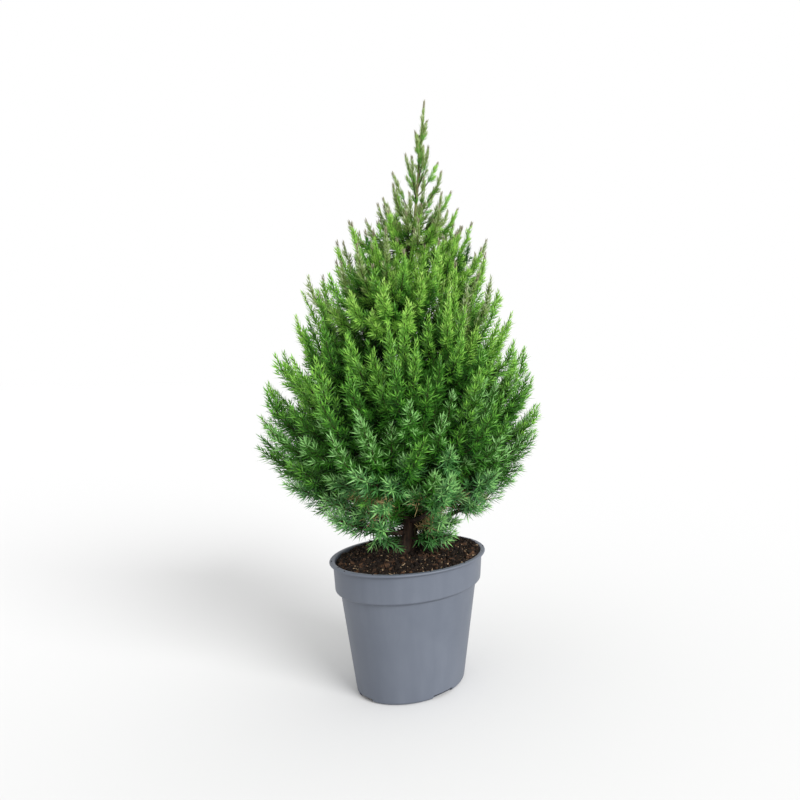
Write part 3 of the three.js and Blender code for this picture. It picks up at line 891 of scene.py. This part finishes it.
def pot_inside(clearance):
    """The outline of the pot's inside from the band's foot down, drawn in by a clearance."""
    inset = POT.wall + clearance
    band_foot = POT.height - POT.band_height
    return [
        (POT.band_foot_radius - inset, band_foot + clearance),
        (POT.body_top_radius - inset, band_foot - POT.ledge + clearance),
        (POT.foot_radius - inset, POT.floor + clearance),
    ]


def pot_outline():
    """The pot's outline from the middle of its underside over the lip to the middle of its floor."""
    band_foot = POT.height - POT.band_height
    lip_foot = POT.height - POT.lip_thickness
    return [
        (ON_AXIS, 0),
        (POT.foot_radius - POT.foot_chamfer, 0),
        (POT.foot_radius, POT.foot_chamfer),
        (POT.body_top_radius, band_foot - POT.ledge),
        (POT.band_foot_radius, band_foot),
        (POT.band_top_radius, lip_foot - POT.lip_round),
        (POT.lip_radius - POT.lip_round, lip_foot),
        (POT.lip_radius, POT.height - POT.lip_thickness / 2),
        (POT.lip_radius - POT.lip_round, POT.height),
        (POT.band_top_radius - POT.wall, POT.height),
        *pot_inside(0),
        (ON_AXIS, POT.floor),
    ]


def drain_blocks():
    """Blocks that fill the drainage notches in the pot's foot."""
    shape = bmesh.new()
    size = np.array((POT.drain_depth, POT.drain_width, 2 * POT.drain_height)) * MM
    place = Matrix.Translation((POT.foot_radius * MM, 0, 0)) @ Matrix.Diagonal((*size, 1))
    for index in range(POT.drains):
        bearing = POT.drain_bearing + 360 * index / POT.drains
        turn = Matrix.Rotation(math.radians(bearing), 4, "Z")
        bmesh.ops.create_cube(shape, size=1, matrix=turn @ place)
    mesh = bpy.data.meshes.new("drains")
    shape.to_mesh(mesh)
    shape.free()
    return bpy.data.objects.new("drains", mesh)


def cut_out(piece, cutter):
    """Cuts an object out of a piece for good, and removes that object."""
    bpy.context.scene.collection.objects.link(cutter)
    cut = piece.modifiers.new("cut", "BOOLEAN")
    cut.object = cutter
    cut.solver = "EXACT"
    evaluated = piece.evaluated_get(bpy.context.evaluated_depsgraph_get())
    whole = bpy.data.meshes.new_from_object(evaluated)
    piece.modifiers.clear()
    piece.data = whole
    bpy.data.objects.remove(cutter)


def add_pot(material):
    shell = turned(rounded(pot_outline()), POT_MESH.sides)
    pot = add_piece("pot_shell", *shell, material, "pot_plastic", ["pot"], smooth=True)
    cut_out(pot, drain_blocks())
    pot.data.set_sharp_from_angle(angle=math.radians(POT_MESH.sharp_angle))


def soil_height(x, y):
    """The height of the compost's heaped and crumbly top."""
    wall = POT.band_top_radius - POT.wall
    share = min(max((wall - math.hypot(x, y)) / (wall - SOIL.crest_radius), 0), 1)
    level = lerp(SOIL.edge_height, SOIL.crest_height, share * share * (3 - 2 * share))
    level += HEAP.height + (HEAP.tilt_x * x + HEAP.tilt_y * y) / wall
    level += HEAP.lump * noise.noise(Vector((x, y, HEAP.lump_slice)) * HEAP.lump_rate)
    return level + HEAP.crumble * noise.fractal(Vector((x, y, 0)) * HEAP.crumble_rate, *HEAP.crumble_octaves)


def add_soil(material):
    foot = [(ON_AXIS, POT.floor + GAP), *reversed(pot_inside(GAP))]
    wall = POT.band_top_radius - POT.wall - SOIL_MESH.wall_gap
    top = [(radius, SOIL.edge_height) for radius in np.linspace(wall, ON_AXIS, SOIL_MESH.rings)]
    corners, faces = turned(np.array(foot + top, float), SOIL_MESH.sides)
    upper = corners[:, 2] >= SOIL.edge_height
    corners[upper, 2] = [soil_height(x, y) for x, y in corners[upper, :2]]
    add_piece("compost", corners, faces, material, "compost", ["soil"], smooth=True)


def random_turns(chance, count):
    """Evenly spread turns in space, as matrices."""
    w, x, y, z = unit(chance.normal(size=(count, 4))).T
    rows = (
        (1 - 2 * (y * y + z * z), 2 * (x * y - z * w), 2 * (x * z + y * w)),
        (2 * (x * y + z * w), 1 - 2 * (x * x + z * z), 2 * (y * z - x * w)),
        (2 * (x * z - y * w), 2 * (y * z + x * w), 1 - 2 * (x * x + y * y)),
    )
    return np.moveaxis(np.array(rows), -1, 0)


def octahedron():
    """Corners and triangles of a crumb before it is made uneven."""
    corners = np.array(((1, 0, 0), (0, 1, 0), (-1, 0, 0), (0, -1, 0), (0, 0, 1), (0, 0, -1)), float)
    upper = [(a, (a + 1) % 4, 4) for a in range(4)]
    lower = [((a + 1) % 4, a, 5) for a in range(4)]
    return corners, np.array(upper + lower)


def add_crumbs(kind):
    """Crumbs or chips of many sizes lying on the compost, and a few on the pot's lip."""
    chance = np.random.default_rng(kind.seed)
    lip = slice(kind.on_lip)
    wall = POT.band_top_radius - POT.wall - CRUMB.wall_gap
    radius = wall * np.sqrt(chance.random(kind.count))
    radius[lip] = lerp(POT.band_top_radius, POT.lip_radius - CRUMB.lip_inset, chance.random(kind.on_lip))
    bearing = 2 * np.pi * chance.random(kind.count)
    x, y = radius * np.cos(bearing), radius * np.sin(bearing)
    height = np.array([soil_height(*spot) for spot in zip(x, y)])
    height[lip] = POT.height
    size = lerp(*kind.size, chance.random(kind.count) ** CRUMB.smallness)
    size[lip] = lerp(*CRUMB.lip_size, chance.random(kind.on_lip))
    corners, faces = octahedron()
    shapes = corners * lerp(*CRUMB.corner_range, chance.random((kind.count, len(corners), 1)))
    shapes = shapes * size[:, None, None] * np.array((1, CRUMB.breadth, kind.flatness))
    shapes = np.einsum("nij,nkj->nki", random_turns(chance, kind.count), shapes)
    shapes = shapes + np.stack((x, y, height + CRUMB.lie * size), -1)[:, None]
    faces = repeated(faces, len(corners), kind.count)
    material = mottled_material(kind.name, kind.dark, kind.light, scale=160, roughness=0.9, specular=0.25)
    add_piece(kind.name, shapes.reshape(-1, 3), faces, material, "compost")


# Bark


def furrows(turn, along):
    """The bark's long interlaced ridges and furrows, over the way round and the way along a limb."""
    drift = FURROW.drift * np.sin(FURROW.drift_rate * along)
    drift = drift + FURROW.weave * np.sin(FURROW.weave_rate * along + FURROW.weave_turns * turn)
    waver = FURROW.waver * np.sin(FURROW.waver_rate * along)
    broad = np.abs(np.sin(FURROW.broad / 2 * turn + drift + waver))
    crossing = FURROW.crossing_rate * along - FURROW.crossing * drift
    fine = np.abs(np.sin(FURROW.fine / 2 * turn + crossing))
    skew = FURROW.break_skew * np.sin(turn)
    breaks = 0.5 + 0.5 * np.sin(FURROW.break_rate * along + FURROW.break_turns * turn + skew)
    return FURROW.broad_height * broad + FURROW.fine_height * fine * breaks - FURROW.depth


def add_trunk(material):
    """The trunk, with its root flare and ridged bark."""
    foot = SOIL.crest_height + GAP
    share = np.linspace(0, 1, TRUNK_MESH.rings) ** TRUNK_MESH.foot_packing
    height = lerp(foot, TRUNK.tip_height, share)[:, None]
    turn = turns_round(TRUNK_MESH.sides)[None, :]
    ridges = 1 + TRUNK.ridge * np.cos(TRUNK.roots * turn)
    flare = TRUNK.flare * ridges * np.exp(-(height - foot) / TRUNK.flare_height)
    relief = TRUNK_MESH.relief * trunk_radius(height) * furrows(turn, height)
    radius = trunk_radius(height) + flare + relief
    spokes = np.stack((np.cos(turn), np.sin(turn), 0 * turn), -1)
    corners = axis_at(height) + radius[:, :, None] * spokes
    faces = ring_faces(TRUNK_MESH.rings, TRUNK_MESH.sides)
    add_piece("trunk_bark", corners.reshape(-1, 3), faces, material, "bark", ["trunk"], smooth=True)


def add_limbs(name, limbs, material):
    """Every bough and the stem that it runs on in, as one tapering rod with ridged bark."""
    turn = turns_round(LIMB_MESH.sides)
    share = np.linspace(0, LIMB.stem_end, LIMB_MESH.rings)
    parts = []
    for limb in limbs:
        points = bezier(limb.curve, share)
        side, lift = cross_axes(bezier_tangent(limb.curve, share))
        knots, sizes = (0, LIMB.stem_end), (limb.stem_radius, LIMB.stem_tip_radius)
        if limb.has_bough:
            knots, sizes = (0, limb.stem_start, LIMB.stem_end), (limb.foot_radius, *sizes)
        travel = np.concatenate(((0,), np.cumsum(np.linalg.norm(np.diff(points, axis=0), axis=1))))
        relief = LIMB_MESH.relief * furrows(turn[None, :], LIMB_MESH.relief_rate * travel[:, None])
        radius = np.interp(share, knots, sizes)[:, None] * (1 + relief)
        corners = points[:, None] + radius[:, :, None] * swing(side[:, None], lift[:, None], turn)
        parts.append((corners.reshape(-1, 3), ring_faces(LIMB_MESH.rings, LIMB_MESH.sides)))
    boughs = [f"bough_{limb.name}" for limb in limbs if limb.has_bough]
    add_piece(name, *joined(parts), material, "bark", boughs, smooth=True)


# Foliage


def add_twigs(twigs, limbs):
    """The twigs of all sprays, which stand with their needles for every mass of foliage."""
    share = np.linspace(0, 1, TWIG_MESH.rings)
    points = np.array([bezier(twig.curve, share) for twig in twigs])
    radii = np.tile(lerp(SPRAY.foot_radius, SPRAY.tip_radius, share), (len(twigs), 1))
    masses = [f"foliage_{limb.name}" for limb in limbs]
    wood = plain_material("twig_wood", srgb(*SPRAY.wood), roughness=0.8, specular=0.3)
    add_piece("twigs", *tubes(points, radii, TWIG_MESH.sides), wood, "bark", masses, smooth=True)


def add_shoots(shoots):
    share = np.linspace(0, 1, SHOOT_MESH.rings)
    count = shoots.curves.shape[1]
    points = np.stack([bezier(shoots.curves, np.full(count, t)) for t in share], 1)
    radii = np.tile(SHOOT.radius * lerp(1, SHOOT.taper, share), (count, 1))
    wood = plain_material("shoot_wood", srgb(*SHOOT.wood), roughness=0.7, specular=0.3)
    add_piece("shoots", *tubes(points, radii, SHOOT_MESH.sides), wood, "needles", smooth=True)


def add_needles(shoots):
    """The needles of each colour, in as many pieces as their number asks for."""
    blades, shade = grow_needles(shoots)
    for index, (name, colour) in enumerate(NEEDLE_COLOURS.items()):
        own = blades[shade == index]
        gloss = NEEDLE.shaded_gloss if name in NEEDLE.shaded else NEEDLE.gloss
        material = plain_material(f"needle_{name}", srgb(*colour), NEEDLE.roughness, gloss)
        parts = max(1, math.ceil(len(BLADE) * len(own) / MOST_TRIANGLES))
        for part, some in enumerate(np.array_split(own, parts)):
            faces = repeated(BLADE, some.shape[1], len(some))
            add_piece(f"needles_{name}_{part + 1}", some.reshape(-1, 3), faces, material, "needles")


limbs = [plan_limb(index) for index in range(LIMB.count)] + [plan_leader()]
shoots = collect_shoots(grow_twigs(limbs))

add_camera()
add_stage()
add_pot(pot_material())
add_soil(soil_material())
for kind in CRUMBS:
    add_crumbs(kind)
bark = bark_material()
add_trunk(bark)
add_limbs("bough_bark", limbs[:-1], bark)
young_bark = mottled_material(
    "young_bark", dark=(92, 92, 56), light=(126, 136, 80), scale=60, roughness=0.7, specular=0.3,
)
add_limbs("leader_bark", limbs[-1:], young_bark)
add_twigs(shoots.twigs, limbs)
add_shoots(shoots)
add_needles(shoots)
